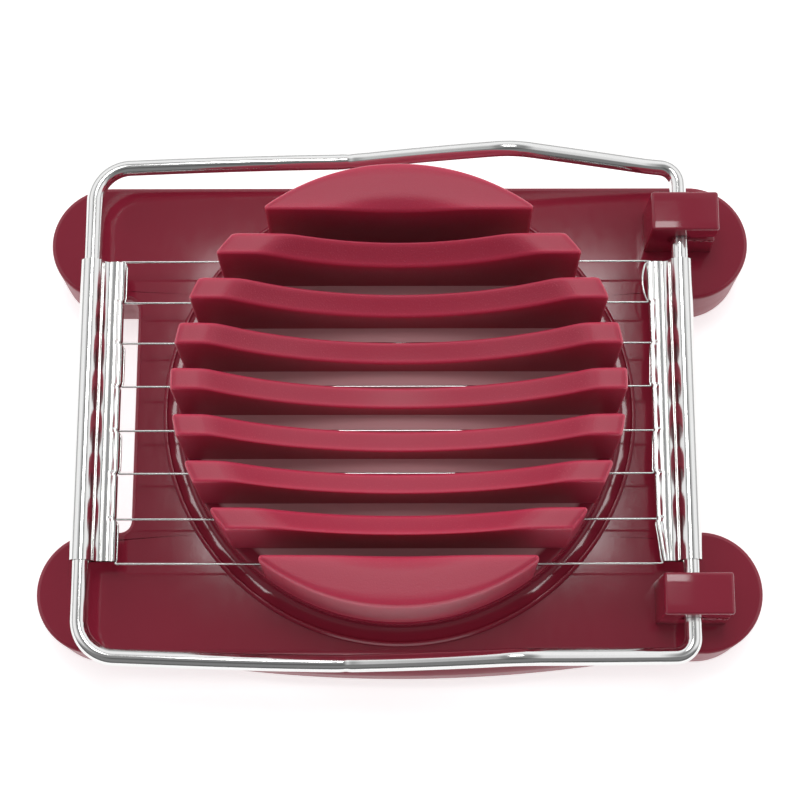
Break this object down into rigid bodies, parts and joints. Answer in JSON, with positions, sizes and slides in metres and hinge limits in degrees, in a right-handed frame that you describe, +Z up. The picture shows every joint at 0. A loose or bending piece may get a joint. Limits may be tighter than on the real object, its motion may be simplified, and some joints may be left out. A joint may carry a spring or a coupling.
{
  "type": "egg slicer",
  "caption": "Wire egg slicer: a moulded base with a ribbed egg cup, and a hinged steel frame strung with cutting wires that swing down through the slots between the ribs.",
  "frame": {"origin": "on the table under the middle of the base", "axes": "+X along the cutting wires, from the free end towards the hinge; +Y along the egg, towards the rear; +Z up"},
  "size_m": [0.098, 0.072, 0.0282],
  "materials": {
    "base_plastic": "high gloss",
    "cup_plastic": "satin",
    "bright_steel": "polished",
    "wire_steel": "drawn"
  },
  "bodies": {
    "base": {"base": "base_plastic", "egg_cup": "cup_plastic"},
    "cutting_frame": {"frame_bow": "bright_steel", "free_rail": "bright_steel", "hinge_rail": "bright_steel", "cutting_wire_1": "wire_steel", "cutting_wire_2": "wire_steel", "cutting_wire_3": "wire_steel", "cutting_wire_4": "wire_steel"}
  },
  "joints": [
    {"name": "frame_hinge", "type": "hinge", "parent": "base", "child": "cutting_frame", "pos_m": [0.0386, 0, 0.0155], "axis": [0, 1, 0], "range_deg": [0, 180]}
  ]
}
